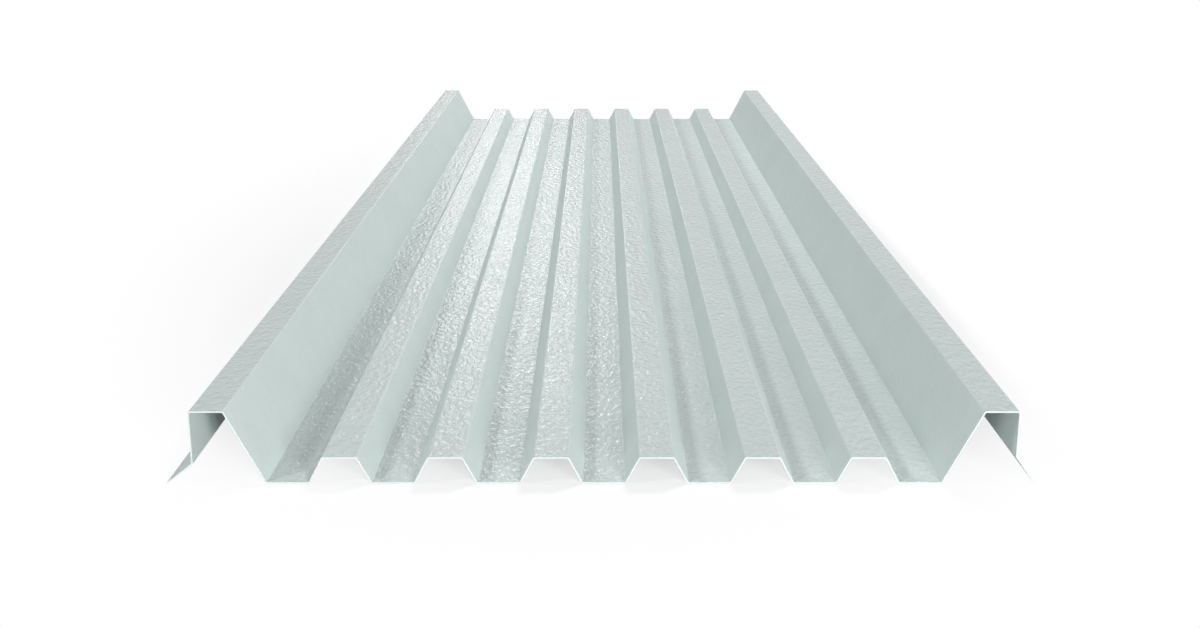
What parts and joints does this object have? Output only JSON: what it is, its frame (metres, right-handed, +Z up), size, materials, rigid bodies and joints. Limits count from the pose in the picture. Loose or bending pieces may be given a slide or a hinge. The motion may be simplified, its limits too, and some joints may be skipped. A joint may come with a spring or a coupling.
{
  "type": "corrugated polyester sheet",
  "caption": "Long pale translucent polyester roofing sheet with a tall lap rib along each side, low ribs between them and a lap flap past each side.",
  "frame": {"origin": "middle of the underside of the centre valley, half-way along the sheet", "axes": "+X across the sheet towards its steeper flap, +Y along the ribs, +Z up, away from the purlin"},
  "size_m": [0.8611, 2.44, 0.076],
  "materials": {
    "polyester": "glossy crinkled gel surface, pale grey-green, slightly translucent"
  },
  "bodies": {
    "root": {"polyester_sheet": "polyester"}
  },
  "joints": []
}
